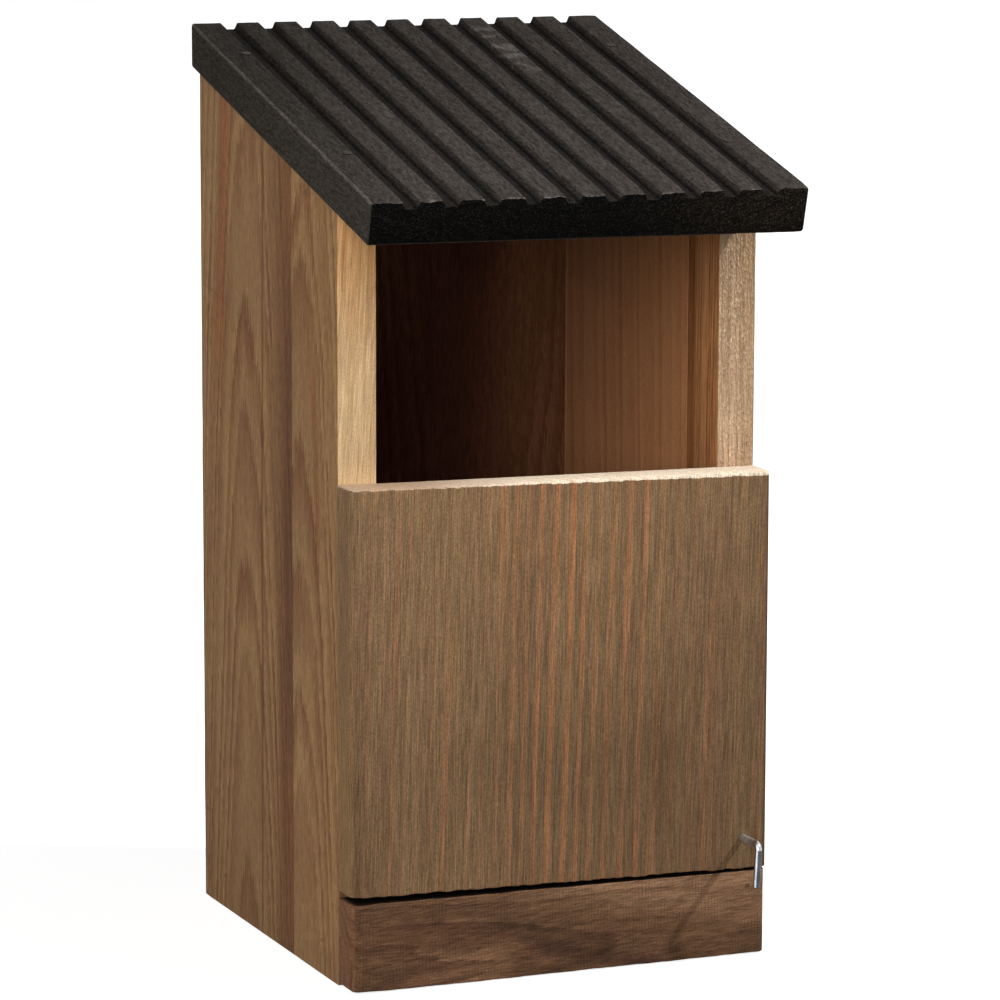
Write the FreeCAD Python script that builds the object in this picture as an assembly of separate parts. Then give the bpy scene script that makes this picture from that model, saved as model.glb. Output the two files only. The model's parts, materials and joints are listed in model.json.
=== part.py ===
import FreeCAD, Part
import math
import os

from FreeCAD import Vector

# Half-open bird nest box with a lift-off front panel. Sizes are in millimetres.
# +X is to the right seen from the front, +Y to the back, +Z up.
# The origin is on the ground, under the middle of the whole box.

# Side walls, each glued up from two staves
box_width = 160.0
side_depth = 145.0
side_thickness = 15.0
wall_front_height = 274.0       # front edge of a side wall, up to the roof's underside
left_seam_from_front = 46.0     # glue line of the left wall
right_seam_from_front = 26.0    # glue line of the right wall

# Back and floor
back_thickness = 8.0
floor_thickness = 15.0
floor_lift = 5.0                # the floor's underside above the ground
floor_corner_cut = 10.0         # drainage gap at each corner

# Roof
roof_pitch_deg = 15.0
roof_thickness = 16.0
roof_front_overhang = 38.5      # eave in front of the side walls' front edges
roof_side_overhang = 2.0
roof_back_overhang = 3.0
roof_edge_radius = 1.2
rib_count = 11
groove_width = 6.2              # across its mouth
groove_floor_width = 4.2
groove_depth = 2.8

# Front rail and loose front panel
front_thickness = 14.0
rail_height = 31.0
rail_corner_radius = 2.5
panel_gap = 2.0                 # between the rail and the panel
panel_height = 144.0
panel_corner_radius = 2.0

# Dowels that line the panel up
dowel_diameter = 6.0
dowel_in_wall = 11.0
dowel_in_panel = 9.0
dowel_from_panel_end = 14.0     # from the panel's top, and from its bottom on the left
dowel_clearance = 0.08          # radial, in the panel's holes
dowel_end_gap = 0.5

# Screw hook that holds the panel
hook_wire = 2.5
hook_from_side = 9.7
hook_above_panel_bottom = 10.6
hook_stand_out = 15.0           # panel face to the middle of the leg's wire
hook_leg = 15.8                 # middle of the shank to the leg's tip
hook_bend_radius = 3.0          # at the middle of the wire
hook_leg_lean_deg = 6.0         # the leg leans back towards the panel
hook_in_wall = 20.0
hook_point = 3.0
hook_thread_pitch = 1.25
hook_thread_depth = 0.35
hook_clearance = 0.05           # radial, in the panel and in the wall
hook_end_gap = 1.0

# Nails and brads
fastener_clearance = 0.05
roof_nail_diameter = 1.8
roof_nail_head = 3.4
roof_nail_length = 40.0
roof_nail_from_front = 13.0     # along the wall's top
roof_nail_from_back = 28.0
brad_diameter = 1.2
brad_length = 32.0
brad_point = 1.5
back_brad_from_end = 34.0       # from the back board's bottom, and from its top
back_brad_count = 3
floor_brad_from_front = 17.0
floor_brad_from_back = 24.0
rail_brad_from_middle = 32.0    # into the floor's front edge

# Keyhole hanger on the back
plate_width = 24.0
plate_height = 60.0
plate_thickness = 1.5
plate_corner_radius = 5.0
plate_below_back_top = 18.0
keyhole_diameter = 10.0
keyhole_from_plate_bottom = 23.0
keyhole_slot_width = 5.0
keyhole_slot_rise = 14.0
head_pocket_margin = 2.0        # room round the keyhole for the hanging screw's head
head_pocket_depth = 5.0
plate_screw_diameter = 3.0
plate_screw_head = 5.6
plate_screw_head_height = 1.4
plate_screw_length = 6.0        # in the board
plate_screw_from_end = 6.5

# Edges count as parallel below this sine of the angle between them
parallel_tolerance = 1e-6

# Places worked out from the sizes
roof_width = box_width + 2 * roof_side_overhang
whole_depth = roof_front_overhang + side_depth + roof_back_overhang
wall_front = roof_front_overhang - whole_depth / 2
wall_back = wall_front + side_depth
back_front = wall_back - back_thickness
panel_face = wall_front - front_thickness
side_outer = box_width / 2
side_inner = side_outer - side_thickness
side_middle = side_outer - side_thickness / 2
floor_middle = floor_lift + floor_thickness / 2
panel_bottom = rail_height + panel_gap
panel_top = panel_bottom + panel_height
pitch = math.radians(roof_pitch_deg)
up_slope = Vector(0, math.cos(pitch), math.sin(pitch))
off_roof = Vector(0, -math.sin(pitch), math.cos(pitch))
inward = {"left": Vector(1, 0, 0), "right": Vector(-1, 0, 0)}
side_sign = {"left": -1, "right": 1}
backwards = Vector(0, 1, 0)
forwards = Vector(0, -1, 0)
upwards = Vector(0, 0, 1)


def roof_underside(y):
    return wall_front_height + (y - wall_front) * math.tan(pitch)


def roof_top(y):
    return roof_underside(y) + roof_thickness / math.cos(pitch)


def prism(points, sweep):
    return Part.Face(Part.makePolygon(points + points[:1])).extrude(sweep)


def box_between(low, high):
    size = Vector(*high) - Vector(*low)
    return Part.makeBox(size.x, size.y, size.z, Vector(*low))


def edges_along(shape, direction, wanted):
    # straight edges that run along a direction and whose middle passes a test
    found = []
    for edge in shape.Edges:
        run = edge.lastVertex().Point - edge.firstVertex().Point
        if run.Length > 0 and run.cross(direction).Length / run.Length < parallel_tolerance:
            if wanted(edge.CenterOfMass):
                found.append(edge)
    return found


def turned(profile, start, direction):
    # solid of revolution from (radius, distance) points, first and last of them on the axis
    points = [Vector(radius, 0, distance) for radius, distance in profile]
    face = Part.Face(Part.makePolygon(points + points[:1]))
    solid = face.revolve(Vector(0, 0, 0), Vector(0, 0, 1), 360)
    solid.Placement = FreeCAD.Placement(start, FreeCAD.Rotation(Vector(0, 0, 1), direction))
    return solid


def pin(start, direction, diameter, length):
    return Part.makeCylinder(diameter / 2, length, start, direction)


def brad(start, direction):
    radius = brad_diameter / 2
    profile = [(0, 0), (radius, 0), (radius, brad_length - brad_point), (0, brad_length)]
    return turned(profile, start, direction)


def brad_hole(start, direction):
    return pin(start, direction, brad_diameter + 2 * fastener_clearance, brad_length)


def roof_nail(start):
    # flat countersunk head flush with the roof's top
    radius = roof_nail_diameter / 2
    head = roof_nail_head / 2
    sink = head - radius
    profile = [(0, 0), (head, 0), (radius, sink), (radius, roof_nail_length - radius), (0, roof_nail_length)]
    return turned(profile, start, off_roof * -1)


def roof_nail_hole(start):
    radius = roof_nail_diameter / 2 + fastener_clearance
    head = roof_nail_head / 2 + fastener_clearance
    profile = [(0, 0), (head, 0), (radius, head - radius), (radius, roof_nail_length), (0, roof_nail_length)]
    return turned(profile, start, off_roof * -1)


def wall_stave(side, y_low, y_high):
    x = side_sign[side] * side_outer
    corners = [(y_low, 0), (y_high, 0), (y_high, roof_underside(y_high)), (y_low, roof_underside(y_low))]
    return prism([Vector(x, y, z) for y, z in corners], inward[side] * side_thickness)


def roof_slab():
    eave = wall_front - roof_front_overhang
    back = wall_back + roof_back_overhang
    eave_top = Vector(-roof_width / 2, eave, roof_top(eave))
    outline = [
        eave_top,
        eave_top - off_roof * roof_thickness,
        Vector(-roof_width / 2, back, roof_underside(back)),
        Vector(-roof_width / 2, back, roof_top(back)),
    ]
    slab = prism(outline, Vector(roof_width, 0, 0))
    return slab.makeFillet(roof_edge_radius, slab.Edges)


def roof_grooves():
    # flat-bottomed cutters with sloping flanks, one on each line between two ribs
    eave = wall_front - roof_front_overhang
    start = Vector(0, eave, roof_top(eave)) - up_slope * roof_thickness
    run = up_slope * (whole_depth / math.cos(pitch) + 2 * roof_thickness)
    cutters = []
    for index in range(1, rib_count):
        middle = start + Vector(roof_width * (index / rib_count - 0.5), 0, 0)
        section = [
            (-groove_floor_width / 2, -groove_depth),
            (groove_floor_width / 2, -groove_depth),
            (groove_width / 2, 0),
            (groove_width / 2, groove_depth),
            (-groove_width / 2, groove_depth),
            (-groove_width / 2, 0),
        ]
        points = [middle + Vector(x, 0, 0) + off_roof * depth for x, depth in section]
        cutters.append(prism(points, run))
    return cutters


def floor_outline():
    front, back, cut = wall_front, back_front, floor_corner_cut
    corners = [
        (-side_inner + cut, front), (side_inner - cut, front),
        (side_inner, front + cut), (side_inner, back - cut),
        (side_inner - cut, back), (-side_inner + cut, back),
        (-side_inner, back - cut), (-side_inner, front + cut),
    ]
    return [Vector(x, y, floor_lift) for x, y in corners]


def front_board(z_low, z_high, corner_radius):
    # a strip across the front whose two front corners are rounded off
    shape = box_between((-side_outer, panel_face, z_low), (side_outer, wall_front, z_high))
    corners = edges_along(shape, upwards, lambda middle: middle.y < wall_front - front_thickness / 2)
    return shape.makeFillet(corner_radius, corners)


def back_outline():
    corners = [
        (back_front, 0), (wall_back, 0),
        (wall_back, roof_underside(wall_back)), (back_front, roof_underside(back_front)),
    ]
    return [Vector(-side_inner, y, z) for y, z in corners]


def upright_slot(diameter, start, depth):
    # round-ended cutter from the keyhole's middle up to the top of its slot
    radius = diameter / 2
    corner = start - Vector(radius, 0, 0)
    column = Part.makeBox(diameter, depth, keyhole_slot_rise, corner)
    lower_end = pin(start, backwards, diameter, depth)
    upper_end = pin(start + upwards * keyhole_slot_rise, backwards, diameter, depth)
    return column.fuse([lower_end, upper_end]).removeSplitter()


def hook_thread(screw_tip):
    # a point, then one ring for each turn of the thread
    wire_radius = hook_wire / 2
    root_radius = wire_radius - hook_thread_depth
    ring_count = int((hook_in_wall - hook_point) / hook_thread_pitch)
    profile = [(0, 0), (root_radius, hook_point)]
    for ring in range(ring_count):
        foot = hook_point + ring * hook_thread_pitch
        profile.append((wire_radius, foot + hook_thread_pitch / 2))
        profile.append((root_radius, foot + hook_thread_pitch))
    profile += [(wire_radius, hook_in_wall), (0, hook_in_wall)]
    return turned(profile, screw_tip, forwards)


def hook_wire_bend(shank_start):
    # plain wire: the shank through the panel, the bend and the leg
    turn = math.radians(90 + hook_leg_lean_deg)
    bend_start = shank_start + forwards * (front_thickness + hook_stand_out - hook_bend_radius)
    bend_centre = bend_start - upwards * hook_bend_radius
    spokes = [Vector(0, -math.sin(angle), math.cos(angle)) for angle in (turn / 2, turn)]
    bend_middle, bend_end = [bend_centre + spoke * hook_bend_radius for spoke in spokes]
    leg_run = Vector(0, -math.cos(turn), -math.sin(turn))
    leg_drop = bend_end.z - (shank_start.z - hook_leg)
    leg_tip = bend_end + leg_run * (leg_drop / math.sin(turn))
    line = Part.Wire([
        Part.LineSegment(shank_start, bend_start).toShape(),
        Part.Arc(bend_start, bend_middle, bend_end).toShape(),
        Part.LineSegment(bend_end, leg_tip).toShape(),
    ])
    section = Part.Wire(Part.makeCircle(hook_wire / 2, shank_start, forwards))
    return line.makePipeShell([section], True, False)


# Roof
roof_board = roof_slab().cut(roof_grooves())

# Side walls
seam_y = {"left": wall_front + left_seam_from_front, "right": wall_front + right_seam_from_front}
front_staves = {side: wall_stave(side, wall_front, seam_y[side]) for side in seam_y}
rear_staves = {side: wall_stave(side, seam_y[side], wall_back) for side in seam_y}

# Back, floor, rail and panel
back_board = prism(back_outline(), Vector(2 * side_inner, 0, 0))
floor_board = prism(floor_outline(), Vector(0, 0, floor_thickness))
front_rail = front_board(0, rail_height, rail_corner_radius)
front_panel = front_board(panel_bottom, panel_top, panel_corner_radius)

# Roof nails, square to the roof, two into each wall
nail_places = []
for side in ("left", "right"):
    for run in (roof_nail_from_front, side_depth - roof_nail_from_back):
        y = wall_front + run
        on_wall = Vector(side_sign[side] * side_middle, y, roof_underside(y))
        nail_places.append(on_wall + off_roof * roof_thickness)
roof_nails = [roof_nail(place) for place in nail_places]
nail_holes = [roof_nail_hole(place) for place in nail_places]
roof_board = roof_board.cut(nail_holes)

# Brads through the side walls into the back board and the floor
back_brads = {}
floor_brads = {}
wall_holes = {}
back_top = roof_underside(back_front)
back_brad_step = (back_top - 2 * back_brad_from_end) / (back_brad_count - 1)
for side in ("left", "right"):
    x = side_sign[side] * side_outer
    back_places = [
        Vector(x, wall_back - back_thickness / 2, back_brad_from_end + index * back_brad_step)
        for index in range(back_brad_count)
    ]
    floor_places = [
        Vector(x, wall_front + floor_brad_from_front, floor_middle),
        Vector(x, wall_back - floor_brad_from_back, floor_middle),
    ]
    back_brads[side] = [brad(place, inward[side]) for place in back_places]
    floor_brads[side] = [brad(place, inward[side]) for place in floor_places]
    wall_holes[side] = [brad_hole(place, inward[side]) for place in back_places + floor_places]
    back_board = back_board.cut([brad_hole(place, inward[side]) for place in back_places])
    floor_board = floor_board.cut([brad_hole(place, inward[side]) for place in floor_places])

# Brads through the rail, above the floor into the walls and level with it into its front edge
rail_brad_height = (floor_lift + floor_thickness + rail_height) / 2
rail_places = [Vector(sign * side_middle, panel_face, rail_brad_height) for sign in (-1, 1)]
rail_places += [Vector(sign * rail_brad_from_middle, panel_face, floor_middle) for sign in (-1, 1)]
rail_brads = [brad(place, backwards) for place in rail_places]
rail_holes = [brad_hole(place, backwards) for place in rail_places]
front_rail = front_rail.cut(rail_holes)
floor_board = floor_board.cut(rail_holes)

# Dowels, glued into the walls and loose in the panel
dowel_places = [
    Vector(-side_middle, wall_front, panel_top - dowel_from_panel_end),
    Vector(side_middle, wall_front, panel_top - dowel_from_panel_end),
    Vector(-side_middle, wall_front, panel_bottom + dowel_from_panel_end),
]
dowel_length = dowel_in_panel + dowel_in_wall
locating_dowels = []
dowel_wall_holes = []
for place in dowel_places:
    panel_end = place - backwards * dowel_in_panel
    locating_dowels.append(pin(panel_end, backwards, dowel_diameter, dowel_length))
    dowel_wall_holes.append(pin(place, backwards, dowel_diameter + 2 * fastener_clearance, dowel_in_wall))
    hole_end = panel_end - backwards * dowel_end_gap
    hole_diameter = dowel_diameter + 2 * dowel_clearance
    front_panel = front_panel.cut(pin(hole_end, backwards, hole_diameter, dowel_in_panel + dowel_end_gap))

# Screw hook, through the panel into the right wall's front edge
hook_seat = Vector(side_outer - hook_from_side, wall_front, panel_bottom + hook_above_panel_bottom)
screw_tip = hook_seat + backwards * hook_in_wall
turn_hook = hook_wire_bend(hook_seat).fuse(hook_thread(screw_tip)).removeSplitter()
hook_hole_diameter = hook_wire + 2 * hook_clearance
hook_wall_hole = pin(hook_seat, backwards, hook_hole_diameter, hook_in_wall + hook_end_gap)
front_panel = front_panel.cut(pin(hook_seat, forwards, hook_hole_diameter, front_thickness))

# Holes in the wall staves
wall_holes["left"] += [dowel_wall_holes[0], dowel_wall_holes[2]]
wall_holes["right"] += [dowel_wall_holes[1], hook_wall_hole]
for side in ("left", "right"):
    holes = wall_holes[side] + nail_holes + rail_holes
    front_staves[side] = front_staves[side].cut(holes)
    rear_staves[side] = rear_staves[side].cut(holes)

# Keyhole plate, its two screws and the pocket behind the keyhole
plate_back = wall_back + plate_thickness
plate_bottom = back_top - plate_below_back_top - plate_height
plate_blank = box_between(
    (-plate_width / 2, wall_back, plate_bottom), (plate_width / 2, plate_back, plate_bottom + plate_height)
)
plate_blank = plate_blank.makeFillet(
    plate_corner_radius, edges_along(plate_blank, backwards, lambda middle: True)
)
keyhole = Vector(0, wall_back, plate_bottom + keyhole_from_plate_bottom)
keyhole_entry = pin(keyhole, backwards, keyhole_diameter, plate_thickness)
keyhole_slot = upright_slot(keyhole_slot_width, keyhole, plate_thickness)
screw_heights = [plate_bottom + plate_screw_from_end, plate_bottom + plate_height - plate_screw_from_end]
hanger_screws = []
plate_screw_holes = []
for height in screw_heights:
    head_top = Vector(0, plate_back + plate_screw_head_height, height)
    head_seat = plate_screw_head_height
    shank_end = head_seat + plate_thickness + plate_screw_length
    shank_radius = plate_screw_diameter / 2
    screw_profile = [
        (0, 0), (shank_radius, 0), (plate_screw_head / 2, head_seat / 2), (plate_screw_head / 2, head_seat),
        (shank_radius, head_seat), (shank_radius, shank_end - shank_radius), (0, shank_end),
    ]
    hanger_screws.append(turned(screw_profile, head_top, forwards))
    hole_mouth = Vector(0, plate_back, height)
    hole_diameter = plate_screw_diameter + 2 * fastener_clearance
    plate_screw_holes.append(pin(hole_mouth, forwards, hole_diameter, plate_thickness + plate_screw_length))
hanger_plate = plate_blank.cut([keyhole_entry, keyhole_slot] + plate_screw_holes)
head_pocket = upright_slot(
    keyhole_diameter + 2 * head_pocket_margin, keyhole + forwards * head_pocket_depth, head_pocket_depth
)
back_board = back_board.cut([head_pocket] + plate_screw_holes)

nodes = {
    "roof_board": roof_board,
    "left_wall_front_stave": front_staves["left"],
    "left_wall_rear_stave": rear_staves["left"],
    "right_wall_front_stave": front_staves["right"],
    "right_wall_rear_stave": rear_staves["right"],
    "back_board": back_board,
    "floor_board": floor_board,
    "front_rail": front_rail,
    "front_panel": front_panel,
    "turn_hook": turn_hook,
    "locating_dowels": Part.makeCompound(locating_dowels),
    "roof_nails": Part.makeCompound(roof_nails),
    "left_back_brads": Part.makeCompound(back_brads["left"]),
    "right_back_brads": Part.makeCompound(back_brads["right"]),
    "left_floor_brads": Part.makeCompound(floor_brads["left"]),
    "right_floor_brads": Part.makeCompound(floor_brads["right"]),
    "rail_brads": Part.makeCompound(rail_brads),
    "hanger_plate": hanger_plate,
    "hanger_screws": Part.makeCompound(hanger_screws),
}

os.makedirs("parts", exist_ok=True)
for name, shape in nodes.items():
    shape.exportStep("parts/" + name + ".step")
    solids = [solid.isValid() for solid in shape.Solids]
    print(name, "solids", len(solids), "valid", all(solids), "volume", round(shape.Volume, 1))
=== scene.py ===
import json
from functools import partial
from math import atan2, cos, pi, radians, sin, tan

import bmesh
import bpy
from mathutils import Matrix, Quaternion, Vector


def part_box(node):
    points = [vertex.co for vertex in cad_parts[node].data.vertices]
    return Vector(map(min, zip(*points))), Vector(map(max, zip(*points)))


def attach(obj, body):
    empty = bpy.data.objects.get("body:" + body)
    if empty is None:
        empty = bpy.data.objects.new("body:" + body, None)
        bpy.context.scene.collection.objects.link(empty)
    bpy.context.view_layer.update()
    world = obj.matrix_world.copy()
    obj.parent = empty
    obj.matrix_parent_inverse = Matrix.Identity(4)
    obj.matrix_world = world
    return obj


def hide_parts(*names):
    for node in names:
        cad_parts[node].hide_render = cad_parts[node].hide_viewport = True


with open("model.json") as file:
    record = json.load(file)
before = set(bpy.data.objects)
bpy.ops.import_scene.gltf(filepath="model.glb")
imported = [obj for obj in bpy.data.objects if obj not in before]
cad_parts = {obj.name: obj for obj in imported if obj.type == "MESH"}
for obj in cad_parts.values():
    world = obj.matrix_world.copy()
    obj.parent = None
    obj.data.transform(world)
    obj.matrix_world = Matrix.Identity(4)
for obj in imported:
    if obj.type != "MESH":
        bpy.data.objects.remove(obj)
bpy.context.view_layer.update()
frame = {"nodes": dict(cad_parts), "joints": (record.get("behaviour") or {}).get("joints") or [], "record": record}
mm = 0.001
toLeft, toRight = (-1, 0, 0), (1, 0, 0)
toFront, toBack = (0, -1, 0), (0, 1, 0)
down, up = (0, 0, -1), (0, 0, 1)
roofPitch = radians(15)
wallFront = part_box("left_wall_front_stave")[0].y
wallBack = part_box("left_wall_rear_stave")[1].y
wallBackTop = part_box("left_wall_rear_stave")[1].z
panelLow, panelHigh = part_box("front_panel")
plateLow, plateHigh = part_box("hanger_plate")
hookJoint = [joint for joint in frame["joints"] if joint["name"] == "hook_turn"][0]
hookPlace = Vector(hookJoint["pos_m"])
keyhole = [mount for mount in frame["record"]["mounts"] if mount["name"] == "hanging_keyhole"][0]
print("frame loaded, nodes:", len(frame["nodes"]))


def roofUnderside(y):
    return wallBackTop - (wallBack - y) * tan(roofPitch)


# Modelling helpers: each one does what a hand would do in edit mode

def setAll(thing, **settings):
    for name, value in settings.items():
        setattr(thing, name, value)
    return thing


def selectOnly(*pieces):   # the first becomes the active one
    bpy.ops.object.select_all(action="DESELECT")
    for piece in pieces:
        piece.select_set(True)
    bpy.context.view_layer.objects.active = pieces[0]


def applyPlace(piece):
    selectOnly(piece)
    bpy.ops.object.transform_apply(location=True, rotation=True, scale=True)


def newPiece(name, scale=(1, 1, 1)):   # names what was just added; its origin stays at the frame's
    piece = setAll(bpy.context.active_object, name=name, scale=scale)
    piece.data.name = name
    applyPlace(piece)
    return piece


def newCube(name, low, high):
    bpy.ops.mesh.primitive_cube_add(size=1, location=(low + high) / 2)
    return newPiece(name, high - low)


def newRod(name, start, length, radius, sides=32):   # a round rod that runs front to back
    middle = start + Vector((0, length / 2, 0))
    bpy.ops.mesh.primitive_cylinder_add(
        vertices=sides, radius=radius, depth=length, location=middle, rotation=(pi / 2, 0, 0),
    )
    return newPiece(name)


def editOn(piece):
    selectOnly(piece)
    bpy.ops.object.mode_set(mode="EDIT")


def editOff():
    bpy.ops.object.mode_set(mode="OBJECT")


def pick(piece, kind, wanted):   # leaves only the wanted verts, edges or faces selected
    bpy.ops.mesh.select_mode(type=kind)
    bpy.ops.mesh.select_all(action="DESELECT")
    shape = bmesh.from_edit_mesh(piece.data)
    items = {"VERT": shape.verts, "EDGE": shape.edges, "FACE": shape.faces}[kind]
    for item in items:
        if wanted(item):
            item.select_set(True)
    shape.select_flush_mode()
    bmesh.update_edit_mesh(piece.data)


def runsAlong(edge, axis):
    run = edge.verts[1].co - edge.verts[0].co
    return abs(run[axis]) > 0.98 * run.length


def middleOf(edge):
    return (edge.verts[0].co + edge.verts[1].co) / 2


def isSharp(edge):
    return edge.calc_face_angle(0) > radians(35)


def easeEdges(piece, width, wanted, segments=3):
    pick(piece, "EDGE", wanted)
    bpy.ops.mesh.bevel(offset=width, offset_type="OFFSET", segments=segments, profile=0.5, affect="EDGES")


def cutAt(place, normal):
    bpy.ops.mesh.select_all(action="SELECT")
    bpy.ops.mesh.bisect(plane_co=place, plane_no=normal)


def divide(piece, axis, step):   # cuts the long edges along one axis into even steps
    shape = bmesh.from_edit_mesh(piece.data)
    longest = max(edge.calc_length() for edge in shape.edges if runsAlong(edge, axis))
    pick(piece, "EDGE", lambda edge: runsAlong(edge, axis) and edge.calc_length() > longest / 2)
    bpy.ops.mesh.subdivide(number_cuts=min(100, max(1, round(longest / step) - 1)))


def reshape(piece, moved):   # moves each vert to where moved() puts it
    shape = bmesh.from_edit_mesh(piece.data)
    for vert in shape.verts:
        vert.co = moved(vert.co)
    bmesh.update_edit_mesh(piece.data)


def groupVerts(piece, name, wanted):
    group = piece.vertex_groups.new(name=name)
    group.add([vert.index for vert in piece.data.vertices if wanted(vert.co)], 1.0, "REPLACE")
    return name


def addRelief(piece, name, grit, height, stretch, direction="NORMAL", group="", level=1.0, harsh=1.0):
    # clouds drawn out along the grain by a scaled guide; at level 1 they only sink the surface
    clouds = setAll(bpy.data.textures.new(name, "CLOUDS"), noise_scale=grit, noise_depth=2, contrast=harsh)
    bpy.ops.object.empty_add(location=(len(piece.name) * 0.37, 0, 0))   # each name gets its own clouds
    guide = setAll(bpy.context.active_object, scale=stretch)
    bpy.context.view_layer.update()
    setAll(
        piece.modifiers.new(name, "DISPLACE"), texture=clouds, texture_coords="OBJECT", vertex_group=group,
        texture_coords_object=guide, direction=direction, strength=height, mid_level=level,
    )
    selectOnly(piece)
    bpy.ops.object.modifier_apply(modifier=name)
    bpy.data.objects.remove(guide)
    bpy.data.textures.remove(clouds)


def cutAway(piece, cutter):
    cut = piece.modifiers.new("cut", "BOOLEAN")
    setAll(cut, operation="DIFFERENCE", solver="EXACT", object=cutter)
    selectOnly(piece)
    bpy.ops.object.modifier_apply(modifier="cut")
    bpy.data.objects.remove(cutter)


def drill(piece, x, z, yStart, yEnd, radius):   # round hole that runs front to back
    cutAway(piece, newRod("drill", Vector((x, yStart, z)), yEnd - yStart, radius))


def copyTo(piece, shift):   # a copy with its own mesh
    copied = piece.copy()
    copied.data = piece.data.copy()
    copied.data.transform(Matrix.Translation(shift))
    bpy.context.collection.objects.link(copied)
    return copied


def joinAll(pieces):
    selectOnly(*pieces)
    bpy.ops.object.join()
    return pieces[0]


def coat(piece, material):
    piece.data.materials.clear()
    piece.data.materials.append(material)


def dress(piece, material, body, slotName, *nodes):
    selectOnly(piece)
    bpy.ops.object.shade_smooth_by_angle(angle=radians(40))
    coat(piece, material)
    piece.vertex_groups.clear()
    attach(piece, body)
    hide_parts(*nodes)
    print("made", piece.name, "faces:", len(piece.data.polygons))


# Material helpers

smooth = {"interpolation_type": "SMOOTHSTEP"}
multiply = {"operation": "MULTIPLY"}
addScaled = {"operation": "MULTIPLY_ADD"}
dot = {"operation": "DOT_PRODUCT", "out": "Value"}
colourMix = {"data_type": "RGBA", "out": 2}


def paint(hexColour):   # sRGB hex to linear
    channels = [int(hexColour[place:place + 2], 16) / 255 for place in (1, 3, 5)]
    linear = [c / 12.92 if c <= 0.04045 else ((c + 0.055) / 1.055) ** 2.4 for c in channels]
    return (*linear, 1.0)


def addNode(tree, kind, inputs, out=0, **settings):   # a node, its settings and links; gives one output
    node = setAll(tree.nodes.new("ShaderNode" + kind), **settings)
    named = inputs.items() if isinstance(inputs, dict) else enumerate(inputs)
    for name, value in named:
        if isinstance(value, bpy.types.NodeSocket):
            tree.links.new(value, node.inputs[name])
        else:
            node.inputs[name].default_value = value
    return node.outputs[out] if node.outputs else node


def newMaterial(name):   # a material, and addNode bound to its tree
    material = bpy.data.materials.new(name)
    material.use_nodes = True
    material.node_tree.nodes.clear()
    return material, partial(addNode, material.node_tree)


def placeInMm(add):
    place = add("TexCoord", {}, out="Object")
    return add("VectorMath", [place, (1000, 1000, 1000)], **multiply)


def streaks(add, grain, across, along, detail=2.0, out=0):   # noise drawn out along the grain, sizes in mm
    scale = (1 / across, 1 / across, 1 / along)
    stretched = add("VectorMath", [grain, scale], **multiply)
    return add("TexNoise", {"Vector": stretched, "Scale": 1.0, "Detail": detail}, out=out)


def addSurface(add, colour, roughness, height, finish):   # what ends every wood and metal; height in mm
    bump = add("Bump", {"Height": height, "Distance": mm, "Strength": 1.0})
    finish = {"Base Color": colour, "Roughness": roughness, "Normal": bump, **finish}
    add("OutputMaterial", {"Surface": add("BsdfPrincipled", finish)})


def band(across, start, early=None, late=None, **rest):   # a stripe or face with colours of its own
    return {"across": across, "start": start, "early": early, "late": late, **rest}


def bandMask(add, place, stripe):   # 1 between two parallel planes in mm, or past one
    reach = add("VectorMath", [place, stripe["across"]], **dot)
    if "wobble" in stripe:
        height, *lengths = stripe["wobble"]   # of the waves along its borders, in mm
        waves = streaks(add, place, *lengths, 3.0)
        centred = add("Math", [waves, 0.5], operation="SUBTRACT")
        reach = add("Math", [centred, 2 * height, reach], **addScaled)
    start, soft = stripe["start"], stripe.get("soft", 0.12)
    mask = add("MapRange", [reach, start - soft, start + soft], **smooth)
    limits = []
    if "end" in stripe:
        end, soft = stripe["end"], stripe.get("softEnd", soft)
        limits.append(add("MapRange", [reach, end - soft, end + soft, 1.0, 0.0], **smooth))
    if "facing" in stripe:   # only on faces that look that way
        normal = add("TexCoord", {}, out="Normal")
        turned = add("VectorMath", [normal, stripe["facing"]], **dot)
        limits.append(add("MapRange", [turned, 0.82, 0.95], **smooth))
    if "patchy" in stripe:   # worn through in places
        patches = streaks(add, place, stripe["patchy"], stripe["patchy"], 3.0)
        limits.append(add("MapRange", [patches, 0.42, 0.62], **smooth))
    if "within" in stripe:
        limits.append(bandMask(add, place, stripe["within"]))
    for limit in limits:
        mask = add("Math", [mask, limit], **multiply)
    return mask


# Pine: a soft light wood with a yearly ring every few mm. Cut along the trunk, the rings show as
# lines and pointed arches; the hard late wood of each ring ends in a sharp dark line.
# Stain soaks into the early wood and leaves the fibres visible, and the surface stays nearly matt.
pineDefaults = {
    "lean": (0, 0, 0),   # degrees; turns the trunk's axis from upright
    "ring": 4.0,         # mm from ring to ring
    "uneven": 2.0,       # how far ring widths differ
    "sway": 2.0,         # mm that the rings wander
    "frayed": 1.0,       # mm that single fibres carry a ring's border up or down
    "swayAcross": 26.0,
    "swayAlong": 150.0,
    "lateFrom": 0.4,     # share of a ring where late wood starts
    "lateFull": 0.93,    # and where it is full
    "lateShare": 0.85,
    "lateFaint": 0.4,    # share that the faintest ring keeps
    "fade": 0.5,         # share left where a ring fades along its length
    "lineShare": 0.7,
    "blotchShare": 0.5,
    "blotchSize": (20, 80),
    "fibreAcross": 0.45,
    "fibreAlong": 14.0,
    "fine": 0.24,        # how far single fibres change the brightness
    "coarse": 0.14,      # how far bundles of fibres do
    "grit": 0.06,        # how far the finest nap does
    "zone": None,        # band where the rings stand out
    "tone": None,        # band that is lighter than the rest
    "saw": None,         # saw lines across the board
    "bands": (),
    "specks": None,      # dust
    "grainRelief": 0.05,
    "rough": 0.7,
    "gloss": 0.12,
}


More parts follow.
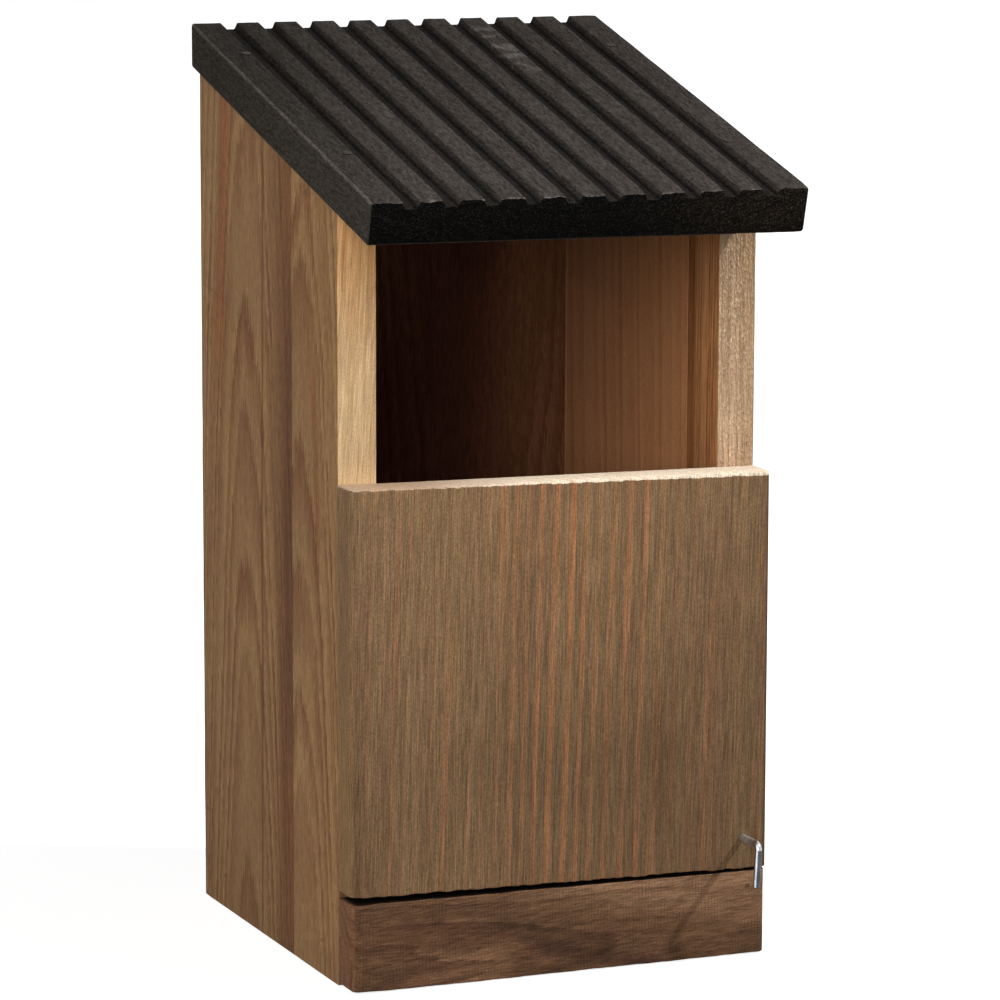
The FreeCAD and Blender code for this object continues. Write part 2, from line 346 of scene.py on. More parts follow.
def ringPattern(add, grain, look):   # late wood, and the dark line that ends each ring
    wander = streaks(add, grain, look["swayAcross"], look["swayAlong"], 1.5, out=1)
    centred = add("VectorMath", [wander, (0.5, 0.5, 0.5)], operation="SUBTRACT")
    sway = (2 * look["sway"], 2 * look["sway"], 0)
    swayed = add("VectorMath", [centred, sway, grain], **addScaled)
    section = add("VectorMath", [swayed, (1, 1, 0)], **multiply)
    radius = add("VectorMath", [section], out="Value", operation="LENGTH")
    frayed = streaks(add, grain, 0.8, 18, 3.0)
    radius = add("Math", [frayed, look["frayed"], radius], **addScaled)
    count = add("Math", [radius, look["ring"]], operation="DIVIDE")
    uneven = add("TexNoise", {"W": count, "Scale": 0.45, "Detail": 1.0}, noise_dimensions="1D")
    rings = add("Math", [uneven, look["uneven"], count], **addScaled)
    phase = add("Math", [rings], operation="FRACT")
    number = add("Math", [rings], operation="FLOOR")
    chance = add("TexWhiteNoise", {"W": number}, noise_dimensions="1D")
    strength = add("MapRange", [chance, 0.1, 0.9, look["lateFaint"], 1.0])
    along = streaks(add, grain, 9, 60)
    fade = add("MapRange", [along, 0.38, 0.58, look["fade"], 1.0], **smooth)
    sharpEnd = add("MapRange", [phase, 0.965, 1.0, 1.0, 0.0], **smooth)
    for factor in (fade, sharpEnd):
        strength = add("Math", [strength, factor], **multiply)
    rise = add("MapRange", [phase, look["lateFrom"], look["lateFull"]], **smooth)
    late = add("Math", [rise, strength], **multiply)
    edge = add("MapRange", [phase, 0.82, 0.94], **smooth)
    line = add("Math", [edge, strength], **multiply)
    return late, line


def pineMaterial(name, **look):
    look = {**pineDefaults, **look}
    material, add = newMaterial(name)
    place = placeInMm(add)
    lean = [radians(angle) for angle in look["lean"]]
    turned = {"Vector": place, "Location": look["pith"], "Rotation": lean}
    grain = add("Mapping", turned, vector_type="TEXTURE")
    late, line = ringPattern(add, grain, look)
    if look["zone"]:
        inZone = bandMask(add, place, look["zone"])
        kept = add("MapRange", {0: inZone, 3: look["zone"]["outside"], 4: 1.0})
        late = add("Math", [late, kept], **multiply)

    # colours, from the widest marks to the finest: each layer covers a share of those before it
    patches = streaks(add, grain, *look["blotchSize"])
    share = add("MapRange", [patches, 0.4, 0.62, 0.0, look["blotchShare"]], **smooth)
    layers = [(share, paint(look["blotch"]))]
    for part, name in ((late, "late"), (line, "line")):
        share = add("Math", [part, look[name + "Share"]], **multiply)
        layers.append((share, paint(look[name])))
    height = add("Math", [late, look["grainRelief"]], **multiply)
    if look["specks"]:
        specks = look["specks"]
        dust = streaks(add, place, specks["size"], specks["size"], 1.0)
        share = add("MapRange", [dust, 0.69, 0.77, 0.0, specks["share"]], **smooth)
        layers.append((share, paint(specks["colour"])))
    for stripe in look["bands"]:
        mask = bandMask(add, place, stripe)
        own = add("Mix", {0: late, 6: paint(stripe["early"]), 7: paint(stripe["late"])}, **colourMix)
        share = add("Math", [mask, stripe.get("share", 1.0)], **multiply)
        layers.append((share, own))
        if "torn" in stripe:   # fibres torn up by a coarse saw, their tips bare and pale
            tufts = streaks(add, grain, 0.6, 1.6, 3.0)
            tips = add("MapRange", [tufts, 0.52, 0.66, 0.0, 0.55], **smooth)
            share = add("Math", [tips, mask], **multiply)
            layers.append((share, paint(stripe["tips"])))
            raised = add("Math", [tufts, mask], **multiply)
            height = add("Math", [raised, stripe["torn"], height], **addScaled)
    colour = paint(look["early"])
    for share, layer in layers:
        colour = add("Mix", {0: share, 6: colour, 7: layer}, **colourMix)
    fibres = streaks(add, grain, look["fibreAcross"], look["fibreAlong"], 2.0)
    bundles = streaks(add, grain, 4 * look["fibreAcross"], 4 * look["fibreAlong"], 2.0)
    nap = streaks(add, grain, 0.35, 0.8, 1.0)
    factors = [
        add("MapRange", [noise, 0.34, 0.66, 1 - share, 1 + share])
        for noise, share in ((fibres, look["fine"]), (bundles, look["coarse"]), (nap, look["grit"]))
    ]
    canals = streaks(add, grain, 0.4, 5.0, 1.0)   # resin canals show as short dashes
    factors.append(add("MapRange", [canals, 0.64, 0.74, 1.0, 0.85], **smooth))
    height = add("Math", [fibres, look["grainRelief"], height], **addScaled)
    if look["tone"]:
        inTone = bandMask(add, place, look["tone"])
        factors.append(add("MapRange", {0: inTone, 3: look["tone"]["low"], 4: look["tone"]["high"]}))
    if look["saw"]:
        saw = look["saw"]
        count = [part / saw["pitch"] for part in saw["along"]]
        teeth = add("VectorMath", [place, count], **dot)
        jitter = streaks(add, place, 5.0, 5.0, 2.0)
        teeth = add("Math", [jitter, 2.5, teeth], **addScaled)
        wave = add("Math", [teeth, 1.0], operation="PINGPONG")
        notch = add("MapRange", [wave, 0.5, 1.0], **smooth)
        blows = streaks(add, place, 9, 9, 2.0)
        depth = add("MapRange", [blows, 0.38, 0.6, 0.2, 1.0], **smooth)
        bite = add("Math", [notch, depth], **multiply)
        factors.append(add("MapRange", {0: bite, 3: 1.0, 4: 1 - saw["share"]}))
        height = add("Math", [bite, -saw["depth"], height], **addScaled)
    light = factors[0]
    for factor in factors[1:]:
        light = add("Math", [light, factor], **multiply)
    colour = add("HueSaturation", {"Value": light, "Color": colour})

    roughness = add("MapRange", [fibres, 0.3, 0.7, look["rough"] + 0.1, look["rough"] - 0.08])
    addSurface(add, colour, roughness, height, {"Specular IOR Level": look["gloss"]})
    return material


# Side walls, each glued up from two staves
staves = {
    "inset": 0.1 * mm,         # the brads' heads stand this far proud
    "arris": 0.5 * mm,
    "seam": 0.22 * mm,         # hairline at the glue joint
    "step": 6 * mm,
    "relief": 0.16 * mm,
    "hookBore": 1.3 * mm,
    "hookBoreDepth": 21 * mm,
    "dowelBore": 3.05 * mm,
    "dowelDepth": 11 * mm,
    "dowelFromEnd": 14 * mm,   # from the panel's top and bottom
}
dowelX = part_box("locating_dowels")[1].x - 3 * mm
dowelPlaces = [
    Vector((-dowelX, wallFront, panelHigh.z - staves["dowelFromEnd"])),
    Vector((dowelX, wallFront, panelHigh.z - staves["dowelFromEnd"])),
    Vector((-dowelX, wallFront, panelLow.z + staves["dowelFromEnd"])),
]


def makeStave(node):
    low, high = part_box(node)
    if low.x < 0:
        low.x += staves["inset"]
    else:
        high.x -= staves["inset"]
    stave = newCube(node + ".wood", low, high)
    editOn(stave)
    middle = (low + high) / 2
    pick(stave, "VERT", lambda vert: vert.co.z > middle.z and vert.co.y < middle.y)
    bpy.ops.transform.translate(value=(0, 0, roofUnderside(low.y) - high.z))
    isFront = abs(low.y - wallFront) < mm
    seamY = high.y if isFront else low.y

    def onSeam(edge):
        return abs(middleOf(edge).y - seamY) < mm

    easeEdges(stave, staves["seam"], lambda edge: runsAlong(edge, 2) and onSeam(edge), 1)
    easeEdges(stave, staves["arris"], lambda edge: runsAlong(edge, 2) and not onSeam(edge) and isSharp(edge))
    easeEdges(stave, staves["seam"], lambda edge: runsAlong(edge, 1) and middleOf(edge).z < 5 * mm, 2)
    divide(stave, 2, staves["step"])
    divide(stave, 1, staves["step"])
    editOff()
    addRelief(stave, "hollows", 9 * mm, staves["relief"], (1, 1, 9))
    arris = groupVerts(stave, "arris", lambda co: abs(co.y - (low.y if isFront else high.y)) < mm)
    addRelief(stave, "nicks", 3 * mm, 0.3 * mm, (1, 1, 3), group=arris)
    return stave


wallFrontMm = wallFront / mm
wallBackMm = wallBack / mm
wallStain = {
    "early": "#8b6c48", "late": "#68422a", "line": "#4f3220", "blotch": "#7b5c3e", "gloss": 0.06,
    "lateFrom": 0.15, "lateShare": 0.95, "lateFaint": 0.5, "fade": 0.6, "lineShare": 0.4, "frayed": 2.6,
    "fibreAcross": 0.3, "fibreAlong": 12, "fine": 0.22, "coarse": 0.1, "grit": 0.12,
}
leftInside = band(toRight, -65.4, "#8a5e3b", "#6f4628")
rightInside = partial(band, toLeft, -65.4)
frontSawn = partial(band, toFront, -wallFrontMm - 1.0, facing=toFront)
backSawn = partial(band, toBack, wallBackMm - 1.0, facing=toBack)
frontFoot = frontSawn("#6b4c33", "#593c28", within=band(down, -40, soft=3))   # darker brown below the panel's bottom, where the front edge shows through the gap
paleSawn = ("#cdad85", "#b89365")
# planed pine under brown stain: each stave shows its own lines or arches of red-brown late wood
stavePines = {
    "left_wall_front_stave": {   # nested arches
        "pith": (-34, wallFrontMm + 36, 140), "lean": (0, 4.0, 0), "ring": 3.4,
        "tone": band(down, -80, soft=60, low=1.0, high=1.12),
        "bands": [
            band((0, 1, -0.1), -53.5, "#754a2f", "#683f28", end=-48.5, soft=1.5, share=0.7,
                 wobble=(1.5, 5, 60), within=band(up, 150, end=214, soft=14)),
            leftInside,
            frontSawn(*paleSawn),
            # painted shade: the bare front edge darker towards the roof that shades it, and more orange
            frontSawn("#b58a5c", "#9f6f42", within=band(up, 238, soft=34)),
            frontFoot,
        ],
    },
    "left_wall_rear_stave": {   # wider arches, and a dark red band of heartwood beside the glue line
        "pith": (-34, wallFrontMm + 94, 140), "lean": (0, 4.0, 0), "ring": 3.6,
        "bands": [
            band(toBack, -20, "#68452b", "#56351e", end=7, soft=1, softEnd=6, share=0.85,
                 wobble=(4, 4, 110)),
            band(toBack, -20, "#523626", "#452a1b", end=0, soft=1, softEnd=5, share=0.65,
                 wobble=(3, 4, 110), within=band(up, 75, end=245, soft=30)),
            band(toBack, 1, "#6a4b32", "#5a3d28", end=17, soft=4, share=0.5,
                 wobble=(4, 5, 90), within=band(up, 150, soft=40)),
            band((0, 1, 0.088), 83, "#80502f", "#70442a", end=94, soft=3, softEnd=1.5, share=0.8,
                 wobble=(3, 7, 90), within=band(up, 205, soft=25)),
            band((0, 1, 0.015), 24, "#553824", "#4d3220", end=26, soft=0.7, share=0.7,
                 wobble=(3, 8, 110)),
            leftInside,
            backSawn(*paleSawn),
        ],
    },
    "right_wall_front_stave": {   # straight close grain, the sawn front edge left rough and bare
        "pith": (20, wallFrontMm - 60, 140), "lean": (1.2, 0, 0), "ring": 2.8,
        "bands": [
            rightInside("#9a6942", "#673c24"),
            rightInside("#7b4e2e", "#653d23", within=band(toBack, -35, soft=2)),
            frontSawn("#a28669", "#85684b", torn=1.2, tips="#d1b598"),
            # painted light: the bare front edge lighter below, out of the roof's shade
            frontSawn("#bfa083", "#a28365", share=0.7, within=band(down, -205, soft=22)),
            frontSawn("#96795a", "#7d6045", share=0.6, within=band(toRight, 75, soft=2.5)),
            frontFoot,
        ],
    },
    "right_wall_rear_stave": {   # quiet grain
        "pith": (110, wallFrontMm + 190, 140), "lean": (-1.5, 1.0, 0), "ring": 8.0,
        "fine": 0.1, "coarse": 0.035, "grit": 0.15, "frayed": 1.4,
        "bands": [
            rightInside("#a2704a", "#925f3e"),
            rightInside("#b8805a", "#a56e49", within=band(toBack, 40, soft=30)),
            # painted light: a thin pale line on the inside at the back corner, where light shows along the joint
            rightInside("#d59c6e", "#c48c60", within=band(toBack, 81.3)),
            backSawn(*paleSawn),
        ],
    },
}
boreStart = wallFront - 2 * mm
for node, look in stavePines.items():
    stave = makeStave(node)
    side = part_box(node)[0].x
    if "front" in node:
        for place in dowelPlaces:
            if place.x * side > 0:
                boreEnd = wallFront + staves["dowelDepth"]
                drill(stave, place.x, place.z, boreStart, boreEnd, staves["dowelBore"])
    if node == "right_wall_front_stave":
        boreEnd = wallFront + staves["hookBoreDepth"]
        drill(stave, hookPlace.x, hookPlace.z, boreStart, boreEnd, staves["hookBore"])
    staveName = node.replace("_wall", "").replace("_", " ")
    material = pineMaterial("pine, planed and brown stained, " + staveName, **{**wallStain, **look})
    dress(stave, material, "box", "brown_stained_pine", node)


# Back board, inset between the walls
backLook = {
    "arris": 0.35 * mm,
    "step": 8 * mm,
    "relief": 0.14 * mm,
    "pocketWidth": 14 * mm,
    "pocketDepth": 5 * mm,
    "slotRise": 14 * mm,
    "screwBore": 1.55 * mm,
    "screwDepth": 6 * mm,
    "screwFromEnd": 6.5 * mm,   # from the hanger plate's ends
}
backInside = partial(band, toFront, -82.75)
# planed pine under brown stain; inside, a darker painted shade where the left wall keeps the light out
backPine = pineMaterial(
    "pine, planed and brown stained, back board",
    pith=(30, wallBackMm + 40, 150), lean=(3.0, 0, 0), ring=4.2, **wallStain,
    bands=[
        backInside("#795137", "#613b25"),
        # painted shade: the inside darkened towards the middle, where the left wall keeps out the light from the
        # left
        backInside("#4b2c20", "#3b1f17", within=band(toRight, -14, end=39, soft=30, softEnd=18)),
    ],
)
plateScrewHeights = (plateLow.z + backLook["screwFromEnd"], plateHigh.z - backLook["screwFromEnd"])


def makeBack(look=backLook):
    low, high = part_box("back_board")
    back = newCube("back_board.wood", low, high)
    editOn(back)
    pick(back, "VERT", lambda vert: vert.co.z > 0.1 and vert.co.y < (low.y + high.y) / 2)
    bpy.ops.transform.translate(value=(0, 0, roofUnderside(low.y) - high.z))
    easeEdges(back, look["arris"], lambda edge: True, 2)
    divide(back, 2, look["step"])
    divide(back, 0, look["step"])
    editOff()
    addRelief(back, "hollows", 9 * mm, look["relief"], (1, 1, 9))
    return back


def slotCutter(low, high):   # a block with round ends
    cutter = newCube("slot", low, high)
    editOn(cutter)
    easeEdges(cutter, (high.x - low.x) * 0.4995, lambda edge: runsAlong(edge, 1), 10)
    editOff()
    return cutter


def cutPocket(back):   # room for the hanging screw's head behind the keyhole
    centre = Vector((0, wallBack, keyhole["pos_m"][2]))
    half = backLook["pocketWidth"] / 2
    low = centre + Vector((-half, -backLook["pocketDepth"], -half))
    high = centre + Vector((half, 2 * mm, backLook["slotRise"] + half))
    cutAway(back, slotCutter(low, high))


back = makeBack()
cutPocket(back)
for height in plateScrewHeights:
    drill(back, 0, height, wallBack - backLook["screwDepth"], wallBack + mm, backLook["screwBore"])
dress(back, backPine, "box", "brown_stained_pine", "back_board")

# Floor with its corners cut off for drainage
floorLook = {"cornerCut": 10 * mm, "arris": 0.4 * mm, "step": 7 * mm, "relief": 0.15 * mm}
# sawn pine under brown stain, grain from side to side
floorPine = pineMaterial(
    "pine, sawn and brown stained, floor", pith=(0, 10, -25), lean=(0, 90, 2.5), ring=4.0, **wallStain,
    saw={"along": toRight, "pitch": 1.4, "share": 0.15, "depth": 0.04},
)


def makeFloorBoard(look=floorLook):
    low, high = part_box("floor_board")
    board = newCube("floor_board.wood", low, high)
    editOn(board)
    easeEdges(board, look["cornerCut"], lambda edge: runsAlong(edge, 2), 1)
    for z in (high.z, low.z):
        easeEdges(board, look["arris"], lambda edge: abs(middleOf(edge).z - z) < mm / 2, 2)
    divide(board, 0, look["step"])
    divide(board, 1, look["step"])
    editOff()
    addRelief(board, "hollows", 9 * mm, look["relief"], (9, 1, 1))
    return board


dress(makeFloorBoard(), floorPine, "box", "brown_stained_pine", "floor_board")


# Front rail
railLook = {
    "inset": 0.1 * mm,
    "corner": 3.2 * mm,
    "footCorner": 2 * mm,
    "arris": 0.4 * mm,
    "leftLift": 1.3 * mm,   # its top is sawn out of square like the panel's bottom
    "rightLift": 0.3 * mm,
    "step": 2 * mm,
    "relief": 0.2 * mm,
    "nick": 0.5 * mm,
}
flame = (3, 9, 9)
# band sawn pine under a darker brown stain: fine upright saw lines, and flames of dark and reddish grain; painted
# shade on the top in the gap under the panel, and on the lowest dark flame where the hook's shadow falls
railPine = pineMaterial(
    "pine, band sawn and brown stained, rail",
    pith=(0, -40, 9), lean=(0, 87, 3.6), ring=4.4, sway=3.0, swayAcross=12, swayAlong=60,
    early="#543c2a", late="#392418", line="#2d1d14", blotch="#422d1f", blotchSize=(6, 46), blotchShare=0.35,
    lateShare=0.7, lineShare=0.45, fibreAlong=9, fine=0.26, coarse=0.16, grit=0.18,
    grainRelief=0.07, gloss=0.06,
    saw={"along": toRight, "pitch": 0.62, "share": 0.24, "depth": 0.06},
    bands=[
        band((0.2, 0, 1), 28, "#775a43", "#593f2d", soft=7, share=0.75, wobble=(2, 9, 9)),
        band(down, -12, "#75563f", "#583d2c", soft=3, share=0.65, wobble=flame,
             within=band(toLeft, 24, end=60, soft=8)),
        # partly painted shade: this dark flame of grain is drawn out to the right and darkened where the hook's
        # shadow falls
        band((0.27, 0, 1), 6, "#3e291f", "#322016", end=12, soft=2.5, share=0.95, wobble=flame,
             within=band(toRight, -14, end=44, soft=8)),
        band((0.1, 0, 1), 9.5, "#4e3525", "#402a1d", end=17, soft=2.5, share=0.7, wobble=flame,
             within=band(toLeft, 24, end=76, soft=8)),
        band(up, 20, "#1c120d", "#160e0a", facing=up),   # painted shade: the rail's top, seen through the gap under the panel, darkened nearly black
        band(toLeft, 78.6, "#735039", "#613e2b", soft=1.2, share=0.75),
    ],
)


def makeRail(look=railLook):
    low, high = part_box("front_rail")
    low.y += look["inset"]
    rail = newCube("front_rail.wood", low, high)
    editOn(rail)
    frontHalf = (low.y + high.y) / 2
    easeEdges(rail, look["corner"], lambda edge: runsAlong(edge, 2) and middleOf(edge).y < frontHalf, 5)

    def isLeftFoot(edge):   # the worn lower left corner
        middle = middleOf(edge)
        return middle.z < low.z + mm and middle.x < low.x + look["corner"] and middle.y < high.y - mm

    easeEdges(rail, look["footCorner"], lambda edge: isSharp(edge) and isLeftFoot(edge), 4)
    easeEdges(rail, look["arris"], isSharp, 3)
    divide(rail, 0, look["step"])
    divide(rail, 2, look["step"] * 2)

    def topLift(x):
        share = (high.x - x) / (high.x - low.x)
        return look["leftLift"] * share + look["rightLift"] * (1 - share)

    def outOfSquare(co):
        return co + Vector((0, 0, topLift(co.x) * (co.z - low.z) / (high.z - low.z)))

    reshape(rail, outOfSquare)
    editOff()
    addRelief(rail, "hollows", 8 * mm, look["relief"], (5, 1, 1))
    bottom = groupVerts(rail, "bottom", lambda co: co.z - low.z < 0.7 * mm)
    addRelief(rail, "bottomNicks", 3 * mm, look["nick"], (2, 1, 1), "Z", bottom, 0.0)
    top = groupVerts(rail, "top", lambda co: high.z + topLift(co.x) - co.z < 0.7 * mm)
    addRelief(rail, "topNicks", 3 * mm, look["nick"], (2, 1, 1), "Z", top)
    return rail


dress(makeRail(), railPine, "box", "brown_stained_pine", "front_rail")


# Front panel: straight grain, crosscut at the top and bottom after staining
panelLook = {
    "leftCorner": 4.5 * mm,
    "rightCorner": 2 * mm,
    "arris": 0.35 * mm,
    "topLift": (1.6 * mm, -0.3 * mm),    # sawn out of square: how far the left and right ends are lifted
    "bottomLift": (1.4 * mm, -1.2 * mm),
    "bareDrop": (0.4 * mm, 1.6 * mm),    # how far the bare sawn top reaches down the face at both ends
    "rows": (0.8 * mm, 1.8 * mm, 4 * mm),   # extra cuts near both ends, for torn edges
    "step": 1.6 * mm,
    "rowStep": 9 * mm,
    "relief": 0.2 * mm,
    "topTear": 1.3 * mm,
    "bottomTear": 1.0 * mm,
    "dowelBore": 3.08 * mm,
    "dowelDepth": 9.5 * mm,
    "hookBore": 1.3 * mm,
}


def liftAt(lifts, x):   # how far an edge that is out of square is lifted
    share = (x - panelLow.x) / (panelHigh.x - panelLow.x)
    return lifts[0] + (lifts[1] - lifts[0]) * share


bareLift = [lift - drop for lift, drop in zip(panelLook["topLift"], panelLook["bareDrop"])]
bareSlope = (bareLift[1] - bareLift[0]) / (panelHigh.x - panelLow.x)
bareFromMm = (panelHigh.z + liftAt(bareLift, 0)) / mm
bareTop = partial(band, (-bareSlope, 0, 1), bareFromMm, wobble=(0.6, 2.4, 2.4))
panelBottomMm = (panelLow.z + liftAt(panelLook["bottomLift"], 0)) / mm
loneRing = partial(   # single orange rings away from the middle
    band, early="#8b5f40", late="#8b5f40", soft=0.8, share=0.5,
    wobble=(1.2, 5, 60), within=band(down, -125, soft=25),
)
# planed pine, brown stained: crisp upright fibres, and late wood that kept little stain and shows orange
panelPine = pineMaterial(
    "pine, planed and brown stained, front panel",
    pith=(105, 11, 100), lean=(0, 1.6, 0), ring=4.3, uneven=0.4,
    sway=0.6, swayAcross=12, swayAlong=130, frayed=0.6,
    early="#735b41", late="#996845", line="#4f3626", blotch="#6e523c", blotchSize=(7, 160), gloss=0.06,
    lateFrom=0.5, lateFull=0.64, lateShare=0.95, lateFaint=0.45, fade=0.55, lineShare=0.3,
    fibreAcross=0.28, fibreAlong=12, fine=0.3, coarse=0.08, grit=0.2,
    zone=band(toRight, -22, end=35, soft=12, softEnd=14, outside=0.26),
    tone=band((-0.3, 0, 1), 110, soft=110, low=0.6, high=0.93),
    bands=[
        band(up, 62, "#644f38", "#865b3c", end=98, soft=22, share=0.6,
             within=band(toRight, -36, end=46, soft=18)),
        band(down, -50, "#816649", "#ab754e", soft=22, share=0.6,
             within=band(toLeft, 20, end=60, soft=12)),
        band(toRight, 34, "#5e4531", "#7c5639", end=42, soft=4, share=0.6,
             wobble=(3, 5, 60), within=band(up, 45, end=100, soft=18)),
        loneRing((1, 0, -0.044), -49.4, end=-47.2),
        loneRing((1, 0, -0.03), 52, end=53.8),
        band(toLeft, 79.2, "#91724c", "#916b48", soft=0.8, share=0.8,   # the left side turns to the light
             within=band(down, -105, soft=60)),
        band(toBack, wallFrontMm - 0.4, "#84633f", "#9a6a42"),
        bareTop("#d8c7b1", "#cab092"),
        bareTop("#a1886f", "#92785f", within=band(toLeft, 30, soft=30)),
        band(toRight, 78.4, "#463728", "#4d3a28", soft=0.6, share=0.8,
             within=band((bareSlope, 0, -1), -bareFromMm)),
        band(down, -panelBottomMm - 1.5, "#a07c58", "#8e6844", facing=down),
    ],
)


def makePanel(look=panelLook):
    low, high = panelLow.copy(), panelHigh.copy()
    panel = newCube("front_panel.wood", low, high)
    editOn(panel)
    frontHalf = (low.y + high.y) / 2
    for corner, side in ((look["leftCorner"], -1), (look["rightCorner"], 1)):

        def isCorner(edge):
            middle = middleOf(edge)
            return runsAlong(edge, 2) and middle.y < frontHalf and middle.x * side > 0

        easeEdges(panel, corner, isCorner, 6)
    middleZ = (low.z + high.z) / 2
    easeEdges(panel, look["arris"], lambda edge: abs(middleOf(edge).z - middleZ) > mm, 2)
    divide(panel, 2, look["rowStep"])
    for row in look["rows"]:
        cutAt((0, 0, high.z - row), up)
        cutAt((0, 0, low.z + row), up)
        cutAt((0, low.y + row, 0), toBack)
    divide(panel, 0, look["step"])

    def outOfSquare(co):   # both ends fall a little to the right
        share = (co.z - low.z) / (high.z - low.z)
        topPart = liftAt(look["topLift"], co.x) * share
        bottomPart = liftAt(look["bottomLift"], co.x) * (1 - share)
        return Vector((co.x, co.y, co.z + topPart + bottomPart))

    def aboveBottom(co):
        return co.z - low.z - liftAt(look["bottomLift"], co.x)

    def belowTop(co):
        return high.z + liftAt(look["topLift"], co.x) - co.z

    reshape(panel, outOfSquare)
    editOff()
    addRelief(panel, "hollows", 10 * mm, look["relief"], (1, 1, 8))
    nearFront = low.y + 1.5 * mm
    top = groupVerts(panel, "top", lambda co: co.y < nearFront and belowTop(co) < mm)
    addRelief(panel, "topTear", 3.2 * mm, look["topTear"], (1, 1, 1), "Z", top, 0.75, 1.6)
    bottom = groupVerts(panel, "bottom", lambda co: co.y < nearFront and aboveBottom(co) < mm)
    addRelief(panel, "bottomTear", 2.6 * mm, look["bottomTear"], (1, 1, 1), "Z", bottom, 0.35, 1.4)
    return panel


panel = makePanel()
for place in dowelPlaces:
    boreEnd = wallFront - panelLook["dowelDepth"]
    drill(panel, place.x, place.z, boreEnd, wallFront + mm, panelLook["dowelBore"])
drill(panel, hookPlace.x, hookPlace.z, panelLow.y - 2 * mm, panelHigh.y + 2 * mm, panelLook["hookBore"])
dress(panel, panelPine, "panel", "brown_stained_pine", "front_panel")


# Roof: one thick board with ribs planed along the slope
roofLook = {
    "thickness": 16 * mm,
    "frontOverhang": 38.5 * mm,
    "ribs": 11,
    "grooveWidth": 6.2 * mm,
    "grooveFloor": 4.2 * mm,
    "grooveDepth": 2.3 * mm,
    "inset": 0.2 * mm,   # room for the CAD board's own edge rounding
    "sag": 1.4 * mm,     # the eave's underside hangs lower towards the right
    "edge": 1.2 * mm,
    "ribEdge": 0.45 * mm,
    "step": 5 * mm,
    "ribStep": 1.5 * mm,
    "relief": 0.25 * mm,
    "eaveTear": 0.6 * mm,
    "figuredRib": 7,     # counted from the left, its grain crossed by a knot
}
roofLow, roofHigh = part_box("roof_board")
eaveY = wallFront - roofLook["frontOverhang"]
eaveTop = roofUnderside(eaveY) + roofLook["thickness"] / cos(roofPitch)
downSlope = Vector((0, -cos(roofPitch), -sin(roofPitch)))
offRoof = Vector((0, -sin(roofPitch), cos(roofPitch)))
leftArris = (Vector((-1, 0, 0)) + offRoof).normalized()
eave = Vector((0, eaveY, eaveTop)) / mm
grooveZone = band(toRight, -74, end=74, soft=1)
ribMm = (roofHigh.x - roofLow.x) / roofLook["ribs"] / mm
figuredMm = roofLow.x / mm + ribMm * roofLook["figuredRib"]
figuredRib = band(toRight, figuredMm + 2, end=figuredMm + ribMm - 2, soft=1)
roofEnd = partial(band, downSlope, eave.dot(downSlope) - 0.9, soft=0.3, facing=downSlope)
eaveArris = (downSlope + offRoof).normalized()
ribTops = -eave.dot(offRoof)
# ribbed pine under black stain: rib tops rubbed to charcoal grey, grooves and end grain still full black,
# arrises worn paler and a little dust
roofPine = pineMaterial(
    "pine, ribbed and black stained, roof",
    pith=(-10, -93, 450), lean=(-75, 0, 0), ring=1.4, sway=2.2, swayAcross=8, swayAlong=60, lateFrom=0.3,
    frayed=1.6,
    early="#2d2926", late="#282421", line="#23201d", blotch="#332f2b", blotchSize=(9, 30),
    tone=band(toFront, 0, soft=90, low=0.8, high=1.18),
    fibreAcross=0.5, fibreAlong=2.2, fine=0.4, coarse=0.15, grit=0.12,
    grainRelief=0.06, rough=0.85, gloss=0.02,
    specks={"size": 0.9, "share": 0.3, "colour": "#6b665f"},
    bands=[
        band((-1, 0.2, 0), 62, "#1d1b18", "#191715", soft=22, share=0.75),
        band(toLeft, 79, "#312d28", "#2a2622", facing=toLeft),
        band(toLeft, 79, "#5d5852", "#514d47", facing=leftArris, share=0.5),
        band(downSlope, eave.dot(downSlope) - 3, "#6b665f", "#57524c", facing=eaveArris, patchy=4, share=0.6),
        band((0, 1, 0.1), 66, "#4f4b48", "#46423f", end=115, soft=6, within=figuredRib, patchy=7, share=0.8),
        band(-offRoof, ribTops + 1.9, "#171513", "#131110", end=ribTops + 5, soft=0.7, within=grooveZone),
        roofEnd("#030303", "#0d0b09", torn=0.5, tips="#1f1c18"),
        roofEnd("#0b0907", "#1e1914", torn=0.5, tips="#3a332a", within=band(toRight, 40, soft=35)),
    ],
)


